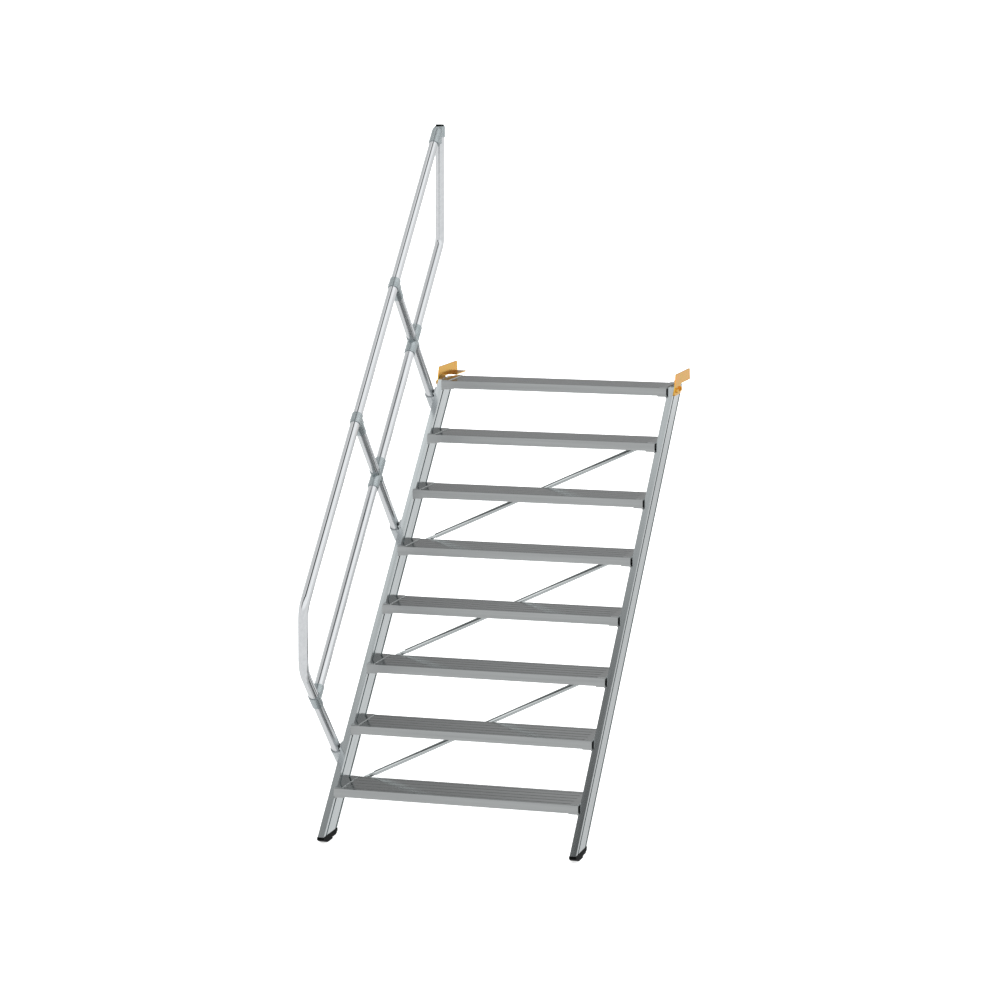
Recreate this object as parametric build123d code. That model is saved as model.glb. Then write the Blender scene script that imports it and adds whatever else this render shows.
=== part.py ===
from build123d import *
import math
import os

# An aluminium access stair with a handrail on its left side, in millimetres.
# X runs across the flight, Y runs back along the going and Z points up.

# Flight
tread_count = 8
rise = 210.0
going = 210.0
clear_width = 1000.0
first_tread_height = 198.0

# Tread, an extrusion that is open underneath
tread_depth = 225.0
tread_front_height = 33.0
tread_rear_height = 15.0
tread_wall = 2.5
tread_skin = 3.5
tread_flange = 14.0
rib_1_reach = 80.0
rib_2_reach = 150.0
groove_count = 5
groove_width = 8.0
groove_depth = 1.4
groove_margin = 23.0

# Stringer, a hollow box with two narrow slots down both sides
stringer_thickness = 26.0
stringer_depth = 116.0
stringer_setback = 30.0
stringer_wall = 2.5
slot_width = 11.0
slot_depth = 6.0
front_bead = 16.0
rear_bead = 7.0
stringer_floor_gap = 29.0

# Angle cleat under each tread end and flat strip on top of it
cleat_leg = 40.0
cleat_drop = 8.0
cleat_thickness = 5.0
cleat_front = 8.0
cleat_length = 130.0
strip_width = 30.0
strip_thickness = 3.0
strip_margin = 6.0

# Plastic shoe under each stringer
shoe_overhang = 2.0
shoe_side = 1.5
shoe_flange = 11.0
toe_length = 60.0
toe_height = 19.0
pad_length = 46.0
heel_length = 44.0
heel_height = 7.0
plug_height = 30.0
plug_root = 2.0
plug_clearance = 0.4

# Hook bracket on top of each stringer, measured from the top tread's nose
hook_thickness = 5.0
hook_front = 62.0
hook_front_lean = 32.0
hook_top = 54.0
hook_reach = 336.0
hook_rear_lean = 8.0
hook_leg_rear = 150.0
hook_leg_drop = 36.0
hook_round = 5.0
seat_height = 6.0
seat_width = 38.0
seat_lap = 25.0

# Handrail tube and its distances, measured square to the line of the noses
tube_radius = 20.0
tube_wall = 2.0
tube_bend = 110.0
knee_bend = 60.0
rail_gap = 11.0
top_rail_height = 669.0
knee_rail_height = 299.0
post_1_reach = 224.0
post_2_reach = 1335.0
post_3_reach = 2053.0
front_reach = 192.0
rail_end_height = 1093.0

# Handrail fittings
sleeve_wall = 3.0
branch_wall = 2.4
sleeve_clearance = 0.2
tube_stop = 6.0
tee_length = 47.0
tee_branch = 80.0
tee_web_width = 40.0
tee_web_drop = 40.0
tee_web_round = 8.0
cross_upper = 77.0
cross_lower = 69.0
cross_branch = 34.0
end_sleeve_top = 27.0
end_sleeve_foot = 38.0
end_branch = 60.0
corner_sleeve = 48.0
corner_rail_sleeve = 72.0
corner_web = 26.0
corner_web_drop = 76.0
corner_spread = 42.3
cap_radius = 18.6
cap_height = 8.0
cap_edge = 1.5
cap_spigot = 14.0

# Post bracket on the stringer's outer face
bracket_width = 40.0
bracket_plate = 6.0
bracket_top = 2.0
bracket_round = 8.0
bracket_block = 42.0
socket_top = 28.0
socket_length = 84.0
socket_floor = 8.0
socket_wall = 4.5
socket_taper = 2.0

# Diagonal brace behind the treads
brace_count = 3
brace_climb_count = 2
brace_radius = 10.0
brace_wall = 1.5
brace_gap = 0.5
brace_left_inset = 53.0
brace_right_inset = 30.0
brace_flat_width = 16.0
brace_flat_thickness = 5.0
brace_flat_length = 16.0
brace_transition = 22.0
brace_bush_radius = 7.0

# Worked out from the sizes above
slope = math.atan2(rise, going)
slope_cos = math.cos(slope)
slope_sin = math.sin(slope)
half_width = clear_width / 2
outer_face = half_width + stringer_thickness
top_nose_y = (tread_count - 1) * going
top_level = first_tread_height + (tread_count - 1) * rise
seat_front = tread_depth - seat_lap
seat_level = top_level + seat_height
rail_x = -(outer_face + rail_gap + tube_radius)
bore_radius = tube_radius + sleeve_clearance
sleeve_radius = bore_radius + sleeve_wall
branch_radius = bore_radius + branch_wall
front_drop_y = -front_reach
rail_end_level = top_level + rail_end_height
stringer_rear = stringer_setback + stringer_depth

# The origin is the middle of the right hook bracket's seat
seat_middle_x = outer_face + (hook_thickness - seat_width) / 2
seat_middle_y = top_nose_y + (seat_front + hook_reach) / 2
to_origin = Location((-seat_middle_x, -seat_middle_y, -seat_level))


def slope_point(along, out, x=0.0):
    """The point a distance along the line of the noses and out from it, square to it."""
    y = along * slope_cos - out * slope_sin
    z = first_tread_height + along * slope_sin + out * slope_cos
    return (x, y, z)


def along_at_level(z, out):
    """How far along the slope the line at this distance out reaches a level."""
    return (z - first_tread_height - out * slope_cos) / slope_sin


def along_at_y(y, out):
    """How far along the slope the line at this distance out reaches a place on Y."""
    return (y + out * slope_sin) / slope_cos


def y_at_level(z, out):
    return slope_point(along_at_level(z, out), out)[1]


def corner_along():
    """Where the corner fitting's rounded end sits on the top rail's line."""
    return along_at_level(rail_end_level - sleeve_radius, top_rail_height)


def upright_y():
    """Where the knee rail's upright stands, just behind the top rail's end."""
    return slope_point(corner_along(), top_rail_height)[1] + corner_spread


def slope_plane(along, out, x):
    """A plane across X whose own x runs up the slope and whose y points out from it."""
    return Plane(
        origin=slope_point(along, out, x),
        x_dir=(0, slope_cos, slope_sin),
        z_dir=(1, 0, 0),
    )


def nose_of(number):
    """Y and Z of a tread's front top edge, counted from 0 at the bottom."""
    return number * going, first_tread_height + number * rise


def area(y0, z0, y1, z1):
    """A rectangle between two corners."""
    return Pos((y0 + y1) / 2, (z0 + z1) / 2) * Rectangle(y1 - y0, z1 - z0)


def across(profile, x0, x1):
    """A profile drawn in Y and Z, made solid from x0 to x1."""
    return extrude(Plane.YZ.offset(x0) * profile, amount=x1 - x0)


def between_levels(solid, low, high):
    lower = split(solid, bisect_by=Plane.XY.offset(high), keep=Keep.BOTTOM)
    return split(lower, bisect_by=Plane.XY.offset(low), keep=Keep.TOP)


def tread_profile():
    """The tread's section: grooved top, front apron, rear lip and two footed ribs."""
    front_foot = -tread_front_height
    profile = area(0, -tread_skin, tread_depth, 0)
    profile += area(0, front_foot, tread_wall, 0)
    profile += area(0, front_foot, tread_flange, front_foot + tread_wall)
    profile += area(tread_depth - tread_wall, -tread_rear_height, tread_depth, 0)
    for place in (rib_1_reach, rib_2_reach):
        half_foot = tread_flange / 2
        profile += area(place - tread_wall / 2, front_foot, place + tread_wall / 2, 0)
        profile += area(place - half_foot, front_foot, place + half_foot, front_foot + tread_wall)
    groove_pitch = (tread_depth - 2 * groove_margin) / (groove_count - 1)
    for number in range(groove_count):
        middle = groove_margin + number * groove_pitch
        profile -= area(middle - groove_width / 2, -groove_depth, middle + groove_width / 2, 0)
    return profile


def tread(number):
    y, z = nose_of(number)
    return across(Pos(y, z) * tread_profile(), -half_width, half_width)


def stringer_bar(section, x):
    """A section drawn across X and depth, run up the slope past both ends of a stringer."""
    low = along_at_level(0, -stringer_setback) - stringer_depth
    high = along_at_level(top_level, -stringer_rear) + stringer_depth
    start = Plane(
        origin=slope_point(low, 0, x),
        x_dir=(1, 0, 0),
        z_dir=(0, slope_cos, slope_sin),
    )
    return extrude(start * section, amount=high - low)


def stringer_core(clearance):
    """The section of the stringer's hollow, narrow past the slots and wide between them."""
    margin = stringer_wall + clearance
    narrow = stringer_thickness / 2 - slot_depth - margin
    wide = stringer_thickness / 2 - margin
    front = stringer_setback + margin
    panel_front = stringer_setback + front_bead + slot_width + margin
    panel_rear = stringer_rear - rear_bead - slot_width - margin
    core = area(-narrow, front, narrow, stringer_rear - margin)
    core += area(-wide, front, wide, stringer_setback + front_bead - margin)
    return core + area(-wide, panel_front, wide, panel_rear)


def stringer(side):
    middle = half_width + stringer_thickness / 2
    body = area(-stringer_thickness / 2, stringer_setback, stringer_thickness / 2, stringer_rear)
    front_slot = stringer_setback + front_bead
    rear_slot = stringer_rear - rear_bead - slot_width
    for face in (-1, 1):
        edge = face * stringer_thickness / 2
        floor = edge - face * slot_depth
        for slot in (front_slot, rear_slot):
            body -= area(min(edge, floor), slot, max(edge, floor), slot + slot_width)
    body -= stringer_core(0)
    return between_levels(stringer_bar(body, side * middle), stringer_floor_gap, top_level)


def cleats(side):
    """At this end of each tread, an angle under it and a flat strip welded on top."""
    pieces = []
    for number in range(tread_count):
        y, z = nose_of(number)
        top = z - tread_front_height
        leg = area(y + cleat_front, top - cleat_thickness, y + cleat_front + cleat_length, top)
        drop = area(y + cleat_front, top - cleat_drop, y + cleat_front + cleat_length, top)
        inner = half_width - cleat_leg
        edge = half_width - cleat_thickness
        flat = across(leg, min(side * inner, side * half_width), max(side * inner, side * half_width))
        upright = across(drop, min(side * edge, side * half_width), max(side * edge, side * half_width))
        pieces.append(flat + upright)
        strip = area(y + strip_margin, z, y + tread_depth - strip_margin, z + strip_thickness)
        ends = sorted((side * (half_width - strip_width), side * half_width))
        pieces.append(across(strip, ends[0], ends[1]))
    return Compound(children=pieces)


def shoe(side):
    """The plastic shoe: a pad with a rounded toe, a raised heel and a plug in the stringer."""
    middle = side * (half_width + stringer_thickness / 2)
    half = stringer_thickness / 2 + shoe_side
    front = y_at_level(stringer_floor_gap, -stringer_setback) - shoe_overhang
    rear = y_at_level(stringer_floor_gap, -stringer_rear) + shoe_overhang
    toe_end = front + toe_length
    pad_end = toe_end + pad_length
    toe = TangentArc((toe_end, 0), (front, toe_height), tangent=(-1, 0))
    rest = Polyline(
        (front, toe_height),
        (front, stringer_floor_gap),
        (rear, stringer_floor_gap),
        (rear, stringer_floor_gap - shoe_flange),
        (pad_end + heel_length, heel_height),
        (pad_end, heel_height),
        (pad_end, 0),
        (toe_end, 0),
    )
    sole = across(make_face([toe, rest]), middle - half, middle + half)
    plug = stringer_bar(stringer_core(plug_clearance), middle)
    root = stringer_floor_gap - plug_root
    return sole + between_levels(plug, root, stringer_floor_gap + plug_height)


def hook_bracket(side):
    """A flag-shaped plate on the stringer's outer face with a seat turned inwards."""
    outline = [
        (hook_front, hook_top),
        (hook_reach - hook_rear_lean, hook_top),
        (hook_reach, seat_height),
        (hook_leg_rear, seat_height),
        (hook_leg_rear, -hook_leg_drop),
        (hook_front - hook_front_lean, -hook_leg_drop),
    ]
    flag = make_face(Polyline(*outline, close=True))
    corners = [v for v in flag.vertices() if v.X < hook_reach - hook_round or v.Y > seat_height + hook_round]
    flag = fillet(corners, hook_round)
    place = Pos(top_nose_y, top_level)
    outside = outer_face + hook_thickness
    inside = outside - seat_width - hook_thickness
    ends = sorted((side * outer_face, side * outside))
    plate = across(place * flag, ends[0], ends[1])
    seat = area(seat_front, seat_height, hook_reach, seat_height + hook_thickness)
    ends = sorted((side * inside, side * outside))
    return plate + across(place * seat, ends[0], ends[1])


def tube(points, bend=0.0):
    """A round tube along a run of points, bent at its corners."""
    path = FilletPolyline(*points, radius=bend) if bend else Line(*points)
    ring = Circle(tube_radius) - Circle(tube_radius - tube_wall)
    return sweep(Plane(origin=path @ 0, z_dir=path % 0) * ring, path=path)


def bar_up(low, high, radius):
    """A round bar up the slope, about a joint's middle."""
    return Pos((low + high) / 2, 0, 0) * Rot(0, 90, 0) * Cylinder(radius, high - low)


def bar_out(low, high, radius):
    """A round bar square to the slope, about a joint's middle."""
    return Pos(0, (low + high) / 2, 0) * Rot(90, 0, 0) * Cylinder(radius, high - low)


def at_rail(along, out):
    """Places what is drawn about a joint's middle in the plane of the handrail."""
    return slope_plane(along, out, rail_x).location


def stop():
    """How far from a joint's middle a tube ends inside its fitting."""
    return bore_radius + tube_stop


def top_rail():
    """From the end fitting up round two bends, then up the slope to the corner fitting."""
    start = slope_point(post_1_reach, knee_rail_height, rail_x)
    low_out = (post_1_reach * slope_cos - front_drop_y) / slope_sin
    low_corner = slope_point(post_1_reach, low_out, rail_x)
    high_corner = slope_point(along_at_y(front_drop_y, top_rail_height), top_rail_height, rail_x)
    end = slope_point(corner_along() - corner_rail_sleeve / 3, top_rail_height, rail_x)
    return tube([start, low_corner, high_corner, end], tube_bend)


def knee_rail():
    """From the end fitting up the slope, then upright to the corner fitting's top."""
    start = slope_point(post_1_reach + stop(), knee_rail_height, rail_x)
    corner = slope_point(along_at_y(upright_y(), knee_rail_height), knee_rail_height, rail_x)
    return tube([start, corner, (rail_x, upright_y(), rail_end_level)], knee_bend)


def post(along, low, high):
    return tube([slope_point(along, low, rail_x), slope_point(along, high, rail_x)])


def socket_floor_out():
    """Where a post stands in its bracket's socket, out from the line of the noses."""
    return socket_floor - stringer_setback - socket_top - socket_length


def tee(along):
    """A short sleeve round the top rail with a branch for the post, webbed on its upper side."""
    half = tee_length / 2
    web = extrude(area(0, -tee_web_drop, half, 0), amount=tee_web_width / 2, both=True)
    web = fillet(web.edges().filter_by(Axis.Y).group_by(Axis.X)[-1], tee_web_round)
    body = bar_up(-half, half, sleeve_radius) + bar_out(-tee_branch, 0, branch_radius) + web
    body -= bar_up(-tee_length, tee_length, bore_radius)
    body -= bar_out(-2 * tee_branch, -stop(), bore_radius)
    return at_rail(along, top_rail_height) * body


def cross(along):
    """A long sleeve round the knee rail with a short branch up and down the post."""
    body = bar_up(-cross_lower, cross_upper, sleeve_radius)
    body += bar_out(-cross_branch, cross_branch, branch_radius)
    body -= bar_up(-2 * cross_lower, 2 * cross_upper, bore_radius)
    body -= bar_out(-2 * cross_branch, -stop(), bore_radius)
    body -= bar_out(stop(), 2 * cross_branch, bore_radius)
    return at_rail(along, knee_rail_height) * body


def end_fitting():
    """A sleeve round the butt of the first post and the top rail, with a branch for the knee rail."""
    body = bar_out(-end_sleeve_foot, end_sleeve_top, sleeve_radius) + bar_up(0, end_branch, branch_radius)
    body -= bar_out(-2 * end_sleeve_foot, 2 * end_sleeve_top, bore_radius)
    body -= bar_up(stop(), 2 * end_branch, bore_radius)
    return at_rail(post_1_reach, knee_rail_height) * body


def corner_fitting():
    """The sharp corner where the top rail meets the upright, with a flat open top."""
    along = corner_along()
    centre = slope_point(along, top_rail_height, rail_x)
    place = at_rail(along, top_rail_height)
    body = place * (bar_up(-corner_rail_sleeve, 0, sleeve_radius) + Sphere(sleeve_radius))
    upright_middle = rail_end_level - corner_sleeve / 2
    body += Pos(rail_x, upright_y(), upright_middle) * Cylinder(sleeve_radius, corner_sleeve)
    web = area(centre[1], rail_end_level - corner_web_drop, upright_y(), rail_end_level)
    body += across(web, rail_x - corner_web / 2, rail_x + corner_web / 2)
    bore_length = 2 * (corner_sleeve + corner_web_drop)
    body -= Pos(rail_x, upright_y(), rail_end_level) * Cylinder(bore_radius, bore_length)
    return body - place * bar_up(-2 * corner_rail_sleeve, -corner_rail_sleeve / 3, bore_radius)


def rail_cap():
    """The black plug in the upright's open end."""
    disc = Pos(0, 0, cap_height / 2) * Cylinder(cap_radius, cap_height)
    disc = chamfer(disc.edges().group_by(Axis.Z)[-1], cap_edge)
    spigot_radius = tube_radius - tube_wall - sleeve_clearance
    spigot = Pos(0, 0, -cap_spigot / 2) * Cylinder(spigot_radius, cap_spigot)
    return Pos(rail_x, upright_y(), rail_end_level) * (disc + spigot)


def post_bracket(along):
    """A plate on the stringer's outer face, a block and a deep socket for the post's foot."""
    face = tube_radius + rail_gap
    foot = -socket_top - socket_length
    plate = area(-bracket_width / 2, foot, bracket_width / 2, -bracket_top)
    plate = fillet(plate.vertices().group_by(Axis.Y)[-1], bracket_round)
    body = Pos(0, 0, face - bracket_plate) * extrude(plate, amount=bracket_plate)
    block = area(-bracket_block / 2, foot, bracket_block / 2, -socket_top)
    body += extrude(block, amount=face)
    wide = bore_radius + socket_wall
    socket = Rot(-90, 0, 0) * Cone(wide - socket_taper, wide, socket_length)
    body += Pos(0, foot + socket_length / 2, 0) * socket
    body -= bar_out(foot + socket_floor, socket_length, bore_radius)
    return at_rail(along, -stringer_setback) * body


def brace_bolt(number, x):
    """Where a brace's end is bolted off the rear lip of a tread."""
    y, z = nose_of(number)
    half_lip = tread_rear_height / 2
    standoff = (brace_radius + brace_gap + half_lip * slope_cos) / slope_sin
    return Vector(x, y + tread_depth + standoff, z - half_lip)


def brace_root():
    """Thickness and width of the flattened end where it runs into the round tube."""
    side = brace_radius * math.sqrt(2)
    return side, side


def brace(number):
    """A tube flattened at both ends, bolted to the treads at a stand-off bush each."""
    low = brace_bolt(number, brace_left_inset - half_width)
    high = brace_bolt(number + brace_climb_count, half_width - brace_right_inset)
    axis = (high - low).normalized()
    length = (high - low).length
    back = Vector(0, 1, 0)
    thin = (back - axis * back.dot(axis)).normalized()
    tube_start = brace_flat_length + brace_transition
    shaft = Pos(0, 0, length / 2) * Cylinder(brace_radius, length - 2 * tube_start)
    hollow = length - 2 * tube_start - 2 * brace_wall
    shaft -= Pos(0, 0, length / 2) * Cylinder(brace_radius - brace_wall, hollow)
    flat = Rectangle(brace_flat_thickness, brace_flat_width)
    end = extrude(flat, amount=brace_flat_length)
    end += Rot(0, 90, 0) * Cylinder(brace_flat_width / 2, brace_flat_thickness)
    tapers = [Pos(0, 0, brace_flat_length) * flat, Pos(0, 0, tube_start) * Rectangle(*brace_root())]
    end += loft(tapers, ruled=True)
    far_end = Pos(0, 0, length) * Rot(180, 0, 0) * end
    body = Plane(origin=low, x_dir=thin, z_dir=axis).location * (shaft + end + far_end)
    for bolt, tread_number in ((low, number), (high, number + brace_climb_count)):
        face = nose_of(tread_number)[0] + tread_depth
        reach = bolt.Y - face
        body += Pos(bolt.X, face + reach / 2, bolt.Z) * Rot(90, 0, 0) * Cylinder(brace_bush_radius, reach)
    return body


def all_parts():
    parts = {}
    for number in range(tread_count):
        parts[f"tread_{number + 1}"] = tread(number)
    for name, side in (("left", -1), ("right", 1)):
        parts[f"{name}_stringer"] = stringer(side)
        parts[f"{name}_tread_cleats"] = cleats(side)
        parts[f"{name}_foot"] = shoe(side)
        parts[f"{name}_hook_bracket"] = hook_bracket(side)
    for number in range(brace_count):
        parts[f"diagonal_brace_{number + 1}"] = brace(brace_climb_count * number)
    parts["top_rail"] = top_rail()
    parts["knee_rail"] = knee_rail()
    parts["rail_end_fitting"] = end_fitting()
    parts["rail_corner_fitting"] = corner_fitting()
    parts["rail_cap"] = rail_cap()
    foot = socket_floor_out()
    parts["post_1"] = post(post_1_reach, foot, knee_rail_height)
    for number, along in enumerate((post_1_reach, post_2_reach, post_3_reach), start=1):
        parts[f"post_bracket_{number}"] = post_bracket(along)
        if number > 1:
            parts[f"post_{number}_lower"] = post(along, foot, knee_rail_height - stop())
            parts[f"post_{number}_upper"] = post(along, knee_rail_height + stop(), top_rail_height - stop())
            parts[f"rail_cross_{number}"] = cross(along)
            parts[f"rail_tee_{number}"] = tee(along)
    return parts


os.makedirs("parts", exist_ok=True)
for node, shape in all_parts().items():
    export_step(to_origin * shape, f"parts/{node}.step")
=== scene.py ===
import bpy
import math
from mathutils import Matrix, Vector


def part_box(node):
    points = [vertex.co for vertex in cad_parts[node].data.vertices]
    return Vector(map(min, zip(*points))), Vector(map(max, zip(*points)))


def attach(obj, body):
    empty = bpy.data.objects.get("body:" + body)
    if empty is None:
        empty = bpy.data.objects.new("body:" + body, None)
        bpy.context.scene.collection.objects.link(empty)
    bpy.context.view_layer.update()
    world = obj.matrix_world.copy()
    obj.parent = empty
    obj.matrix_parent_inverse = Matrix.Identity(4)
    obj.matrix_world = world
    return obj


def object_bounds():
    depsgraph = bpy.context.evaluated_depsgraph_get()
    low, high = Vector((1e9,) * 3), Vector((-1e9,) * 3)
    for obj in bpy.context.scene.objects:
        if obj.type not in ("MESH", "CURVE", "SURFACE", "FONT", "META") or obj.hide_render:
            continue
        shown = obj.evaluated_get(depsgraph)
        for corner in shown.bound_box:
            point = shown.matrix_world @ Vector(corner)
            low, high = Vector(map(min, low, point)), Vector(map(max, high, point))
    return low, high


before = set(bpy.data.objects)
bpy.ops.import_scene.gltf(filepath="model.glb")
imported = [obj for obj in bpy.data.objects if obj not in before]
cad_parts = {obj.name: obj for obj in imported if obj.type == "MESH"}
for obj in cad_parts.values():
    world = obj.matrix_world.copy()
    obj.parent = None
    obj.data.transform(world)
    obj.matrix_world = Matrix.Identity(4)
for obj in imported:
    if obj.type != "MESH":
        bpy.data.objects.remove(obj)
cad_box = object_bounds()

# An aluminium access stair with a handrail on its left side, in metres.
# Left is -X, the treads climb towards +Y, and the flight rises one for one.
MM = 0.001
SLOPE = math.radians(45.0)
UP_SLOPE = Vector((0, math.cos(SLOPE), math.sin(SLOPE)))
OUT_OF_SLOPE = Vector((0, -math.sin(SLOPE), math.cos(SLOPE)))
TREADS = [f"tread_{number}" for number in range(1, 9)]


def linear(colour):
    """An sRGB hex colour as linear red, green, blue and alpha."""
    parts = [int(colour[place:place + 2], 16) / 255 for place in (1, 3, 5)]
    parts = [c / 12.92 if c <= 0.04045 else ((c + 0.055) / 1.055) ** 2.4 for c in parts]
    return (*parts, 1.0)


def add(tree, kind, sockets=None, **settings):
    """Adds a node with its settings; each socket gets a value or a link from another node's output."""
    node = tree.nodes.new(kind)
    for name, value in settings.items():
        setattr(node, name, value)
    for name, value in (sockets or {}).items():
        if isinstance(value, bpy.types.NodeSocket):
            tree.links.new(value, node.inputs[name])
        else:
            node.inputs[name].default_value = value
    return node


def new_material(name):
    material = bpy.data.materials.new(name)
    material.use_nodes = True
    material.node_tree.nodes.clear()
    return material, material.node_tree


def drawn_aluminium(name, dark, light, roughness, turn, score_mm, band_mm, side_roughness=None):
    """Aluminium pushed or drawn through a die: faint scores run the whole length of the piece.

    The scores show as fine light and dark lines, and broad bands give the metal its uneven grey.
    They run along X, turned by the angles in turn. With side_roughness, only what faces up is as
    smooth as roughness says, as on a tread whose top is polished by shoes.
    """
    material, tree = new_material(name)
    place = add(tree, "ShaderNodeTexCoord").outputs["Object"]
    lines = add(tree, "ShaderNodeMapping", {
        "Vector": place,
        "Rotation": turn,
        "Scale": (1.4, score_mm * MM, score_mm * MM),
    }, vector_type="TEXTURE")
    scores = add(tree, "ShaderNodeTexNoise", {"Vector": lines.outputs[0], "Scale": 1.0, "Detail": 2.0})
    wide = add(tree, "ShaderNodeMapping", {
        "Vector": place,
        "Rotation": turn,
        "Scale": (0.6, band_mm * MM, band_mm * MM),
    }, vector_type="TEXTURE")
    bands = add(tree, "ShaderNodeTexNoise", {"Vector": wide.outputs[0], "Scale": 1.0, "Detail": 2.0})
    both = add(tree, "ShaderNodeMix", {
        "Factor": 0.35,
        "A": bands.outputs["Fac"],
        "B": scores.outputs["Fac"],
    }, data_type="FLOAT")
    tone = add(tree, "ShaderNodeValToRGB", {"Fac": both.outputs[0]})
    tone.color_ramp.elements[0].position = 0.32
    tone.color_ramp.elements[0].color = linear(dark)
    tone.color_ramp.elements[1].position = 0.68
    tone.color_ramp.elements[1].color = linear(light)
    gloss = add(tree, "ShaderNodeMapRange", {
        "Value": both.outputs[0],
        "From Min": 0.3,
        "From Max": 0.7,
        "To Min": roughness + 0.04,
        "To Max": roughness - 0.03,
    }).outputs[0]
    if side_roughness is not None:
        facing = add(tree, "ShaderNodeNewGeometry").outputs["True Normal"]
        upward = add(tree, "ShaderNodeSeparateXYZ", {"Vector": facing}).outputs["Z"]
        worn = add(tree, "ShaderNodeMath", {0: upward, 1: 0.5}, operation="GREATER_THAN").outputs[0]
        dull = add(tree, "ShaderNodeMath", {0: gloss, 1: side_roughness - roughness}).outputs[0]
        gloss = add(tree, "ShaderNodeMix", {
            "Factor": worn,
            "A": dull,
            "B": gloss,
        }, data_type="FLOAT").outputs[0]
    relief = add(tree, "ShaderNodeBump", {
        "Height": scores.outputs["Fac"],
        "Strength": 0.12,
        "Distance": 0.00003,
    })
    shader = add(tree, "ShaderNodeBsdfPrincipled", {
        "Base Color": tone.outputs["Color"],
        "Metallic": 1.0,
        "Roughness": gloss,
        "Normal": relief.outputs[0],
    })
    add(tree, "ShaderNodeOutputMaterial", {"Surface": shader.outputs[0]})
    return material


def cast_aluminium(name, dark, light):
    """Cast aluminium, tumbled: a satin grey with fine pits and soft clouds."""
    material, tree = new_material(name)
    place = add(tree, "ShaderNodeTexCoord").outputs["Object"]
    clouds = add(tree, "ShaderNodeTexNoise", {"Vector": place, "Scale": 1 / 0.028, "Detail": 4.0})
    grit = add(tree, "ShaderNodeTexNoise", {"Vector": place, "Scale": 1 / 0.0014, "Detail": 2.0})
    tone = add(tree, "ShaderNodeValToRGB", {"Fac": clouds.outputs["Fac"]})
    tone.color_ramp.elements[0].position = 0.3
    tone.color_ramp.elements[0].color = linear(dark)
    tone.color_ramp.elements[1].position = 0.72
    tone.color_ramp.elements[1].color = linear(light)
    gloss = add(tree, "ShaderNodeMapRange", {
        "Value": grit.outputs["Fac"],
        "From Min": 0.3,
        "From Max": 0.7,
        "To Min": 0.2,
        "To Max": 0.3,
    })
    relief = add(tree, "ShaderNodeBump", {
        "Height": grit.outputs["Fac"],
        "Strength": 0.3,
        "Distance": 0.0001,
    })
    shader = add(tree, "ShaderNodeBsdfPrincipled", {
        "Base Color": tone.outputs["Color"],
        "Metallic": 0.9,
        "Roughness": gloss.outputs[0],
        "Normal": relief.outputs[0],
    })
    add(tree, "ShaderNodeOutputMaterial", {"Surface": shader.outputs[0]})
    return material


def passivated_zinc(colours, glancing, roughness):
    """Steel plated with zinc and passivated yellow: satin, its colour drifting between the given ones.

    The clear film over the zinc keeps some of its colour at a glancing view, where bare metal turns white.
    """
    material, tree = new_material("yellow_zinc_on_steel")
    place = add(tree, "ShaderNodeTexCoord").outputs["Object"]
    drift = add(tree, "ShaderNodeTexNoise", {
        "Vector": place,
        "Scale": 1 / 0.055,
        "Detail": 3.0,
        "Distortion": 0.6,
    })
    grain = add(tree, "ShaderNodeTexNoise", {"Vector": place, "Scale": 1 / 0.0011, "Detail": 2.0})
    tone = add(tree, "ShaderNodeValToRGB", {"Fac": drift.outputs["Fac"]})
    ramp = tone.color_ramp.elements
    while len(ramp) < len(colours):
        ramp.new(0.5)
    for number, colour in enumerate(colours):
        ramp[number].position = 0.32 + 0.36 * number / (len(colours) - 1)
        ramp[number].color = linear(colour)
    gloss = add(tree, "ShaderNodeMapRange", {
        "Value": grain.outputs["Fac"],
        "From Min": 0.3,
        "From Max": 0.7,
        "To Min": roughness - 0.05,
        "To Max": roughness + 0.07,
    })
    relief = add(tree, "ShaderNodeBump", {
        "Height": grain.outputs["Fac"],
        "Strength": 0.3,
        "Distance": 0.0001,
    })
    shader = add(tree, "ShaderNodeBsdfPrincipled", {
        "Base Color": tone.outputs["Color"],
        "Metallic": 1.0,
        "Roughness": gloss.outputs[0],
        "Specular Tint": linear(glancing),
        "Normal": relief.outputs[0],
    })
    add(tree, "ShaderNodeOutputMaterial", {"Surface": shader.outputs[0]})
    return material


def moulded_plastic():
    """Polyamide, moulded in a spark-eroded tool: dull black with a fine even grain and pale scuffs."""
    material, tree = new_material("black_polyamide_moulded")
    place = add(tree, "ShaderNodeTexCoord").outputs["Object"]
    grain = add(tree, "ShaderNodeTexNoise", {"Vector": place, "Scale": 1 / 0.0009, "Detail": 2.0})
    scuffs = add(tree, "ShaderNodeTexNoise", {
        "Vector": place,
        "Scale": 1 / 0.018,
        "Detail": 6.0,
        "Roughness": 0.7,
    })
    tone = add(tree, "ShaderNodeValToRGB", {"Fac": scuffs.outputs["Fac"]})
    tone.color_ramp.elements[0].position = 0.5
    tone.color_ramp.elements[0].color = linear("#070808")
    tone.color_ramp.elements[1].position = 0.8
    tone.color_ramp.elements[1].color = linear("#1c1e1f")
    gloss = add(tree, "ShaderNodeMapRange", {
        "Value": scuffs.outputs["Fac"],
        "From Min": 0.35,
        "From Max": 0.75,
        "To Min": 0.5,
        "To Max": 0.72,
    })
    relief = add(tree, "ShaderNodeBump", {
        "Height": grain.outputs["Fac"],
        "Strength": 0.4,
        "Distance": 0.0002,
    })
    shader = add(tree, "ShaderNodeBsdfPrincipled", {
        "Base Color": tone.outputs["Color"],
        "Roughness": gloss.outputs[0],
        "IOR": 1.53,
        "Specular IOR Level": 0.03,
        "Normal": relief.outputs[0],
    })
    add(tree, "ShaderNodeOutputMaterial", {"Surface": shader.outputs[0]})
    return material


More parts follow.
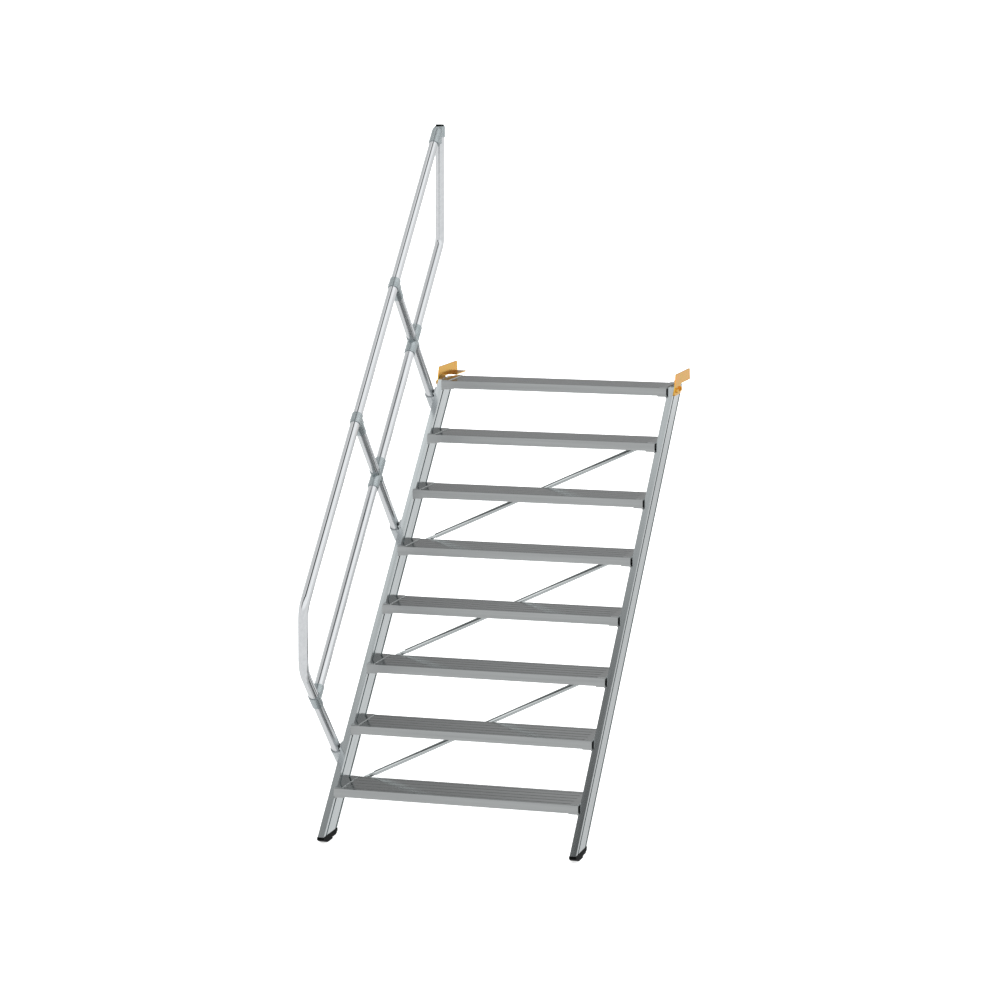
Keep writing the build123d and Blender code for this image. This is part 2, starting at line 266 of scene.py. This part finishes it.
def dress(names, material):
    for name in names:
        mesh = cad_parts[name].data
        mesh.materials.clear()
        mesh.materials.append(material)


# Turns that lay the scores' own X along a piece.
ALONG_TREAD = (0, 0, 0)
UP_THE_SLOPE = (0, math.radians(-45.0), math.radians(90.0))
SQUARE_TO_SLOPE = (0, math.radians(-45.0), math.radians(-90.0))
ALONG_BRACE = (0, math.radians(-22.4), math.radians(24.3))
tread_metal = drawn_aluminium(
    "mill_aluminium_tread", "#9b9d9d", "#a6a8a8", 0.13, ALONG_TREAD, 2.2, 14.0, side_roughness=0.3)
stringer_metal = drawn_aluminium(
    "mill_aluminium_stringer", "#b4b9ba", "#c0c5c6", 0.13, UP_THE_SLOPE, 2.2, 16.0)
rail_metal = drawn_aluminium("drawn_aluminium_rail", "#c7c9cb", "#d1d2d4", 0.07, UP_THE_SLOPE, 2.0, 12.0)
post_metal = drawn_aluminium("drawn_aluminium_post", "#c7c9cb", "#d1d2d4", 0.25, SQUARE_TO_SLOPE, 2.0, 12.0)
brace_metal = drawn_aluminium("drawn_aluminium_brace", "#bcc1c1", "#c8cccc", 0.1, ALONG_BRACE, 2.0, 12.0)
fitting_metal = cast_aluminium("cast_aluminium_fitting", "#99a1a3", "#a9b0b2")
bracket_metal = cast_aluminium("cast_aluminium_bracket", "#a9aeb0", "#b9bdbf")
yellow_zinc = passivated_zinc(["#d69e3e", "#e4a94e", "#d6af48", "#e6a554"], "#f8e9d7", 0.2)
weld_metal = drawn_aluminium("weld_aluminium_bead", "#c4c8c8", "#d2d5d5", 0.48, ALONG_TREAD, 2.0, 6.0)
bolt_metal = drawn_aluminium("turned_aluminium_bolt", "#b2b7b8", "#c0c5c5", 0.24, ALONG_TREAD, 1.0, 5.0)
black_plastic = moulded_plastic()

dress(TREADS, tread_metal)
dress(["left_stringer", "right_stringer"], stringer_metal)
dress(["left_tread_cleats", "right_tread_cleats"], tread_metal)
dress([f"diagonal_brace_{number}" for number in (1, 2, 3)], brace_metal)
dress(["top_rail", "knee_rail"], rail_metal)
dress(["post_1"], post_metal)
dress([f"post_{number}_{half}" for number in (2, 3) for half in ("lower", "upper")], post_metal)
dress(["rail_end_fitting", "rail_corner_fitting"], fitting_metal)
dress([f"rail_{kind}_{number}" for kind in ("tee", "cross") for number in (2, 3)], fitting_metal)
dress([f"post_bracket_{number}" for number in (1, 2, 3)], bracket_metal)
dress(["left_hook_bracket", "right_hook_bracket"], yellow_zinc)
dress(["left_foot", "right_foot", "rail_cap"], black_plastic)


# Places and sizes of the small hardware, in metres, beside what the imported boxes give.
HALF_WIDTH = 0.5
SLEEVE_RADIUS = 0.0232
BRANCH_RADIUS = 0.0226
SOCKET_RADIUS = 0.0243
TOP_RAIL_OUT = 0.669
KNEE_RAIL_OUT = 0.299
STRINGER_SETBACK = 0.03
STRIP_WIDTH = 0.03


def nose_of(tread):
    """The middle of a tread's front top edge."""
    low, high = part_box(tread)
    return Vector(((low[0] + high[0]) / 2, low[1], high[2]))


def on_slope(along, out, x):
    """The point a distance up the line of the noses and out from it, square to it."""
    foot = nose_of(TREADS[0])
    return Vector((x, foot.y, foot.z)) + along * UP_SLOPE + out * OUT_OF_SLOPE


def up_to_post(number):
    """How far up the line of the noses a post stands, from its bracket's box."""
    low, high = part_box(f"post_bracket_{number}")
    foot = nose_of(TREADS[0])
    return (low[1] + high[2] - foot.y - foot.z) * math.sqrt(0.5)


def group_input(tree, name, value):
    """A named size on a node group, with its starting value."""
    socket = tree.interface.new_socket(name, in_out="INPUT", socket_type="NodeSocketFloat")
    socket.default_value = value


def start_tree(name):
    """A geometry tree with points coming in and a mesh going out."""
    tree = bpy.data.node_groups.new(name, "GeometryNodeTree")
    tree.interface.new_socket("Geometry", in_out="INPUT", socket_type="NodeSocketGeometry")
    tree.interface.new_socket("Geometry", in_out="OUTPUT", socket_type="NodeSocketGeometry")
    return tree


def end_tree(tree, points, shape, material):
    """Sets the shape on every point, turned to the point's own axis, and makes it one mesh."""
    axis = add(tree, "GeometryNodeInputNamedAttribute", {"Name": "axis"}, data_type="FLOAT_VECTOR")
    turn = add(tree, "FunctionNodeAlignRotationToVector", {"Vector": axis.outputs["Attribute"]}, axis="Z")
    copies = add(tree, "GeometryNodeInstanceOnPoints", {
        "Points": points,
        "Instance": shape,
        "Rotation": turn.outputs[0],
    })
    real = add(tree, "GeometryNodeRealizeInstances", {"Geometry": copies.outputs[0]})
    done = add(tree, "GeometryNodeSetMaterial", {"Geometry": real.outputs[0], "Material": material})
    add(tree, "NodeGroupOutput", {"Geometry": done.outputs[0]})


def raised(tree, sides, radius, height, rim, rim_width):
    """A closed prism on z = 0 with its top edge drawn in by rim_width, as a share, over the height rim."""
    base = add(tree, "GeometryNodeMeshCircle", {"Vertices": sides, "Radius": radius}, fill_type="NGON")
    under = add(tree, "GeometryNodeFlipFaces", {"Mesh": base.outputs[0]})
    wall = add(tree, "GeometryNodeExtrudeMesh", {
        "Mesh": base.outputs[0],
        "Offset": (0, 0, 1),
        "Offset Scale": height,
    }, mode="FACES")
    edge = add(tree, "GeometryNodeExtrudeMesh", {
        "Mesh": wall.outputs["Mesh"],
        "Selection": wall.outputs["Top"],
        "Offset": (0, 0, 1),
        "Offset Scale": rim,
    }, mode="FACES")
    drawn = add(tree, "GeometryNodeScaleElements", {
        "Geometry": edge.outputs["Mesh"],
        "Selection": edge.outputs["Top"],
        "Scale": 1 - rim_width,
    }, domain="FACE")
    return drawn.outputs[0], edge.outputs["Top"], under.outputs[0]


def closed(tree, *shells):
    """Joins open shells along their shared edges."""
    joined = add(tree, "GeometryNodeJoinGeometry")
    for shell in shells:
        tree.links.new(shell, joined.inputs[0])
    merged = add(tree, "GeometryNodeMergeByDistance", {"Geometry": joined.outputs[0], "Distance": 0.00001})
    return merged.outputs[0]


def hex_bolt_tree(material):
    """A washer and a hexagon head with chamfered corners, on every point."""
    tree = start_tree("hex_bolts")
    for name, value in (("Head Radius", 0.0075), ("Head Height", 0.0053), ("Washer Radius", 0.009)):
        group_input(tree, name, value)
    size = add(tree, "NodeGroupInput").outputs
    plate = raised(tree, 20, size["Washer Radius"], 0.0012, 0.0004, 0.05)
    washer = closed(tree, plate[0], plate[2])
    body = raised(tree, 6, size["Head Radius"], size["Head Height"], 0.0011, 0.14)
    head = add(tree, "GeometryNodeTransform", {
        "Geometry": closed(tree, body[0], body[2]),
        "Translation": (0, 0, 0.0015),
    })
    bolt = add(tree, "GeometryNodeJoinGeometry")
    tree.links.new(washer, bolt.inputs[0])
    tree.links.new(head.outputs[0], bolt.inputs[0])
    end_tree(tree, size["Geometry"], bolt.outputs[0], material)
    return tree


def socket_screw_tree(material):
    """A low round head with a sunk socket, on every point."""
    tree = start_tree("socket_screws")
    for name, value in (("Radius", 0.004), ("Height", 0.0015), ("Socket Depth", 0.0012)):
        group_input(tree, name, value)
    size = add(tree, "NodeGroupInput").outputs
    body, top, under = raised(tree, 18, size["Radius"], size["Height"], 0.0004, 0.12)
    lip = add(tree, "GeometryNodeExtrudeMesh", {
        "Mesh": body,
        "Selection": top,
        "Offset": (0, 0, 1),
        "Offset Scale": 0.0,
    }, mode="FACES")
    mouth = add(tree, "GeometryNodeScaleElements", {
        "Geometry": lip.outputs["Mesh"],
        "Selection": lip.outputs["Top"],
        "Scale": 0.55,
    }, domain="FACE")
    sunk = add(tree, "GeometryNodeExtrudeMesh", {
        "Mesh": mouth.outputs[0],
        "Selection": lip.outputs["Top"],
        "Offset": (0, 0, -1),
        "Offset Scale": size["Socket Depth"],
    }, mode="FACES")
    end_tree(tree, size["Geometry"], closed(tree, sunk.outputs["Mesh"], under), material)
    return tree


def hardware(name, tree, sizes, places):
    """One plain mesh of all the bolts or screws at these (point, direction) places."""
    carrier = bpy.data.meshes.new(name + "_points")
    carrier.from_pydata([point for point, axis in places], [], [])
    axes = carrier.attributes.new("axis", "FLOAT_VECTOR", "POINT")
    axes.data.foreach_set("vector", [value for point, axis in places for value in axis])
    made_mesh(name, carrier, tree, sizes)


def welds(name, tree, sizes, runs):
    """One plain mesh of the beads along these (start, end) runs."""
    carrier = bpy.data.meshes.new(name + "_runs")
    ends = [end for run in runs for end in run]
    carrier.from_pydata(ends, [(place, place + 1) for place in range(0, len(ends), 2)], [])
    made_mesh(name, carrier, tree, sizes)


def made_mesh(name, carrier, tree, sizes):
    """Runs a tree on a carrier mesh and keeps the result as a plain piece on the stair."""
    source = bpy.data.objects.new(name + "_points", carrier)
    bpy.context.scene.collection.objects.link(source)
    modifier = source.modifiers.new("hardware", "NODES")
    modifier.node_group = tree
    for item in tree.interface.items_tree:
        if item.item_type == "SOCKET" and item.name in sizes:
            modifier[item.identifier] = sizes[item.name]
    evaluated = source.evaluated_get(bpy.context.evaluated_depsgraph_get())
    mesh = bpy.data.meshes.new_from_object(evaluated)
    source.modifiers.remove(modifier)
    bpy.data.objects.remove(source)
    mesh.name = name
    piece = bpy.data.objects.new(name, mesh)
    bpy.context.scene.collection.objects.link(piece)
    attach(piece, "root")


def hook_bolt_places():
    """Two bolts through each hook bracket's leg into the stringer."""
    nose = nose_of(TREADS[-1])
    drop = 0.014
    places = []
    for node, side in (("left_hook_bracket", 0), ("right_hook_bracket", 1)):
        outward = Vector((2 * side - 1, 0, 0))
        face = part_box(node)[side][0]
        for back in (0.058, 0.13):
            places.append((Vector((face, nose.y + back, nose.z - drop)), outward))
    return places


def cleat_bolt_places():
    """Two bolts up through each angle cleat under a tread's end."""
    cleat_thickness = 0.005
    inset = 0.022
    places = []
    for tread in TREADS:
        nose = nose_of(tread)
        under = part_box(tread)[0][2] - cleat_thickness
        for x in (inset - HALF_WIDTH, HALF_WIDTH - inset):
            for back in (0.09, 0.125):
                places.append((Vector((nose.x + x, nose.y + back, under)), Vector((0, 0, -1))))
    return places


def weld_places():
    """Front and back end of the weld along the inner edge of every tread's left end strip."""
    start = 0.008
    length = 0.209
    lift = 0.0004
    runs = []
    for tread in TREADS:
        front = nose_of(tread) + Vector((STRIP_WIDTH - HALF_WIDTH, start, lift))
        runs.append((front, front + Vector((0, length, 0))))
    return runs


def brace_bolt_places():
    """A bolt through each flattened end of the braces."""
    lip_half = 0.0075
    tube_reach = 0.0105
    left_inset = 0.053
    right_inset = 0.03
    flat_half = 0.0022
    standoff = (tube_reach + lip_half * math.cos(SLOPE)) / math.sin(SLOPE)
    places = []
    for number in (0, 2, 4):
        ends = []
        foot = (TREADS[number], left_inset - HALF_WIDTH)
        head = (TREADS[number + 2], HALF_WIDTH - right_inset)
        for tread, x in (foot, head):
            nose = nose_of(tread)
            ends.append(Vector((nose.x + x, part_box(tread)[1][1] + standoff, nose.z - lip_half)))
        along = (ends[1] - ends[0]).normalized()
        back = Vector((0, 1, 0))
        outward = (back - along * back.dot(along)).normalized()
        places += [(end + flat_half * outward, outward) for end in ends]
    return places


def bracket_screw_places():
    """Two screws in the bare top of each post bracket's plate."""
    plate = 0.006
    drop = 0.014
    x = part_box("left_stringer")[0][0] - plate
    places = []
    for number in (1, 2, 3):
        for step in (-0.012, 0.012):
            place = on_slope(up_to_post(number) + step, -STRINGER_SETBACK - drop, x)
            places.append((place, Vector((-1, 0, 0))))
    return places


def set_screw_places():
    """Set screws on the outer side of every fitting, which hold the tubes."""
    low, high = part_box("post_1")
    middle = (low[0] + high[0]) / 2
    posts = [up_to_post(number) for number in (1, 2, 3)]
    spots = [
        (posts[0], KNEE_RAIL_OUT + 0.014, SLEEVE_RADIUS),
        (posts[0], KNEE_RAIL_OUT - 0.026, SLEEVE_RADIUS),
        (posts[0] + 0.046, KNEE_RAIL_OUT, BRANCH_RADIUS),
    ]
    for post in posts[1:]:
        spots.append((post, TOP_RAIL_OUT, SLEEVE_RADIUS))
        spots.append((post, TOP_RAIL_OUT - 0.062, BRANCH_RADIUS))
        spots.append((post - 0.05, KNEE_RAIL_OUT, SLEEVE_RADIUS))
        spots.append((post + 0.055, KNEE_RAIL_OUT, SLEEVE_RADIUS))
    for post in posts:
        spots.append((post, -STRINGER_SETBACK - 0.05, SOCKET_RADIUS))
    outward = Vector((-1, 0, 0))
    sunk = 0.0008
    return [(on_slope(along, out, middle - radius + sunk), outward) for along, out, radius in spots]


def weld_tree(material):
    """A low round bead with a ripple for every step of the torch, along every edge."""
    tree = start_tree("weld_beads")
    for name, value in (("Bead Radius", 0.0024), ("Ripple", 0.0035)):
        group_input(tree, name, value)
    size = add(tree, "NodeGroupInput").outputs
    path = add(tree, "GeometryNodeMeshToCurve", {"Mesh": size["Geometry"]})
    steps = add(tree, "GeometryNodeResampleCurve", {
        "Curve": path.outputs[0],
        "Length": size["Ripple"],
    }, mode="LENGTH")
    swell = add(tree, "FunctionNodeRandomValue", {"Min": 0.8, "Max": 1.15, "Seed": 11}, data_type="FLOAT")
    wide = [socket for socket in swell.outputs if socket.enabled][0]
    ripple = add(tree, "GeometryNodeSetCurveRadius", {"Curve": steps.outputs[0], "Radius": wide})
    ring = add(tree, "GeometryNodeCurvePrimitiveCircle", {"Resolution": 8, "Radius": size["Bead Radius"]})
    bead = add(tree, "GeometryNodeCurveToMesh", {
        "Curve": ripple.outputs[0],
        "Profile Curve": ring.outputs[0],
        "Fill Caps": True,
    })
    real = add(tree, "GeometryNodeRealizeInstances", {"Geometry": bead.outputs[0]})
    done = add(tree, "GeometryNodeSetMaterial", {"Geometry": real.outputs[0], "Material": material})
    add(tree, "NodeGroupOutput", {"Geometry": done.outputs[0]})
    return tree


yellow_bolts = hex_bolt_tree(yellow_zinc)
aluminium_bolts = hex_bolt_tree(bolt_metal)
aluminium_screws = socket_screw_tree(bolt_metal)
HOOK_BOLT = {"Head Radius": 0.0098, "Head Height": 0.0064, "Washer Radius": 0.0118}
CLEAT_BOLT = {"Head Radius": 0.0075, "Head Height": 0.0053, "Washer Radius": 0.0085}
BRACE_BOLT = {"Head Radius": 0.0068, "Head Height": 0.005, "Washer Radius": 0.0078}
BRACKET_SCREW = {"Radius": 0.0055, "Height": 0.0034, "Socket Depth": 0.002}
WELD_BEAD = {"Bead Radius": 0.0026, "Ripple": 0.0035}
SET_SCREW = {"Radius": 0.004, "Height": 0.0022, "Socket Depth": 0.0016}
hardware("hook_bolts", yellow_bolts, HOOK_BOLT, hook_bolt_places())
hardware("cleat_bolts", aluminium_bolts, CLEAT_BOLT, cleat_bolt_places())
hardware("brace_bolts", aluminium_bolts, BRACE_BOLT, brace_bolt_places())
hardware("bracket_screws", aluminium_screws, BRACKET_SCREW, bracket_screw_places())
hardware("set_screws", aluminium_screws, SET_SCREW, set_screw_places())
welds("end_strip_welds", weld_tree(weld_metal), WELD_BEAD, weld_places())


# The sky, by direction. Across grows to the right and front, past is the same but held back
# towards the front, and front and under are 1 straight along their own direction.
SKY_LEVEL = 1.05
SKY_COLOUR = (0.985, 0.995, 1.0, 1.0)
ACROSS = (0.593, -0.806, 0.0)
FRONT = (-0.09, -0.33, 0.94)
UNDER = (0.48, 0.30, -0.82)
HELD_BACK = 0.09

# Each region is where it lies and the patches in it. A patch is its level and where it lies.
# A place is a list of limits: a measure, where the patch begins to show and where it is full.
CEILING = ([("z", 0.35, 0.65)], [
    (0.16, [("across", -0.04, 0.035), ("past", 0.21, 0.135), ("y", 0.22, 0.08)]),
    (1.28, [("past", 0.15, 0.25)]),
    (1.3, [("across", -0.02, -0.1), ("across", -0.2, -0.12)]),
    (0.78, [("x", -0.3, -0.5)]),
    (0.35, [("front", 0.9838, 0.995)]),
])
BACK_WALL = ([("aside", 0.62, 0.45), ("y", 0.15, 0.35), ("z", -0.05, 0.03), ("z", 0.85, 0.7)], [
    (0.35, []),
    (0.285 / 0.35, [("x", -0.265, -0.315)]),
    (1.45, [("x", -0.275, -0.24), ("z", 0.2, 0.245)]),
])
LOW_WALL = ([("y", 0.8, 0.9), ("z", -0.112, -0.135)], [
    (0.72, []),
    (0.92 / 0.72, [("x", 0.22, 0.32)]),
])
BELOW = ([], [(0.6, [("under", 0.90, 0.975)])])


def pale_floor():
    """A plain pale studio floor under the shoes, with a pale wall far behind."""
    half = 60.0
    wall = 60.0
    level = cad_box[0][2]
    mesh = bpy.data.meshes.new("studio_floor")
    corners = [(-half, -half, level), (half, -half, level), (half, half, level), (-half, half, level)]
    corners += [(half, half, level + wall), (-half, half, level + wall)]
    mesh.from_pydata(corners, [], [(0, 1, 2, 3), (3, 2, 4, 5)])
    floor = bpy.data.objects.new("studio_floor", mesh)
    bpy.context.scene.collection.objects.link(floor)
    material, tree = new_material("painted_floor_matt")
    shader = add(tree, "ShaderNodeBsdfPrincipled", {
        "Base Color": linear("#f4f5f5"),
        "Roughness": 0.9,
        "Emission Color": linear("#ffffff"),
        "Emission Strength": 0.7,
    })
    add(tree, "ShaderNodeOutputMaterial", {"Surface": shader.outputs[0]})
    mesh.materials.append(material)
    floor.visible_glossy = False


def studio_sky():
    """Soft even light from all round, with the few darker gaps between lamps that bright metal mirrors."""
    world = bpy.data.worlds.new("studio_sky")
    bpy.context.scene.world = world
    world.use_nodes = True
    tree = world.node_tree
    tree.nodes.clear()
    look = add(tree, "ShaderNodeTexCoord").outputs["Generated"]
    part = add(tree, "ShaderNodeSeparateXYZ", {"Vector": look}).outputs
    measures = {"x": part["X"], "y": part["Y"], "z": part["Z"]}
    for name, way in (("across", ACROSS), ("front", FRONT), ("under", UNDER)):
        aim = Vector(way).normalized()
        along = add(tree, "ShaderNodeVectorMath", {0: look, 1: aim}, operation="DOT_PRODUCT")
        measures[name] = along.outputs["Value"]
    aside = add(tree, "ShaderNodeMath", {0: part["X"]}, operation="ABSOLUTE")
    measures["aside"] = aside.outputs[0]
    held = add(tree, "ShaderNodeMapRange", {
        "Value": part["Y"],
        "From Min": -0.1,
        "From Max": -0.2,
        "To Max": HELD_BACK,
    }, interpolation_type="SMOOTHSTEP")
    past = add(tree, "ShaderNodeMath", {0: measures["across"], 1: held.outputs[0]}, operation="SUBTRACT")
    measures["past"] = past.outputs[0]

    def blended(limits, level):
        """The level where all the limits are met, easing to 1 where one of them isn't."""
        share = 1.0
        for measure, start, end in limits:
            step = add(tree, "ShaderNodeMapRange", {
                "Value": measures[measure],
                "From Min": start,
                "From Max": end,
            }, interpolation_type="SMOOTHSTEP")
            both = add(tree, "ShaderNodeMath", {0: share, 1: step.outputs[0]}, operation="MULTIPLY")
            share = both.outputs[0]
        mix = add(tree, "ShaderNodeMix", {"Factor": share, "A": 1.0, "B": level}, data_type="FLOAT")
        return mix.outputs[0]

    level = SKY_LEVEL
    for place, patches in (CEILING, BACK_WALL, LOW_WALL, BELOW):
        inside = 1.0
        for amount, limits in patches:
            patch = blended(limits, amount)
            product = add(tree, "ShaderNodeMath", {0: inside, 1: patch}, operation="MULTIPLY")
            inside = product.outputs[0]
        region = blended(place, inside)
        product = add(tree, "ShaderNodeMath", {0: level, 1: region}, operation="MULTIPLY")
        level = product.outputs[0]
    back = add(tree, "ShaderNodeBackground", {"Color": SKY_COLOUR, "Strength": level})
    add(tree, "ShaderNodeOutputWorld", {"Surface": back.outputs[0]})


def photograph_camera():
    """The photograph's own viewpoint: a long lens, a little above the top tread."""
    yaw, pitch, roll = 0.27555538, 0.14979997, 0.00270287
    forward = Vector((-math.sin(yaw) * math.cos(pitch), math.cos(yaw) * math.cos(pitch), -math.sin(pitch)))
    level = Vector((math.cos(yaw), math.sin(yaw), 0))
    above = level.cross(forward)
    right = math.cos(roll) * level + math.sin(roll) * above
    up = right.cross(forward)
    data = bpy.data.cameras.new("photograph_camera")
    data.sensor_width = 36.0
    data.lens = 113.247
    camera = bpy.data.objects.new("photograph_camera", data)
    bpy.context.scene.collection.objects.link(camera)
    turn = Matrix((right, up, -forward)).transposed().to_4x4()
    offset = Vector((3.44447, -11.53833, 2.99758))
    camera.matrix_world = Matrix.Translation(nose_of(TREADS[0]) + offset) @ turn
    bpy.context.scene.camera = camera


pale_floor()
studio_sky()
photograph_camera()
bpy.context.scene.view_settings.view_transform = "Standard"
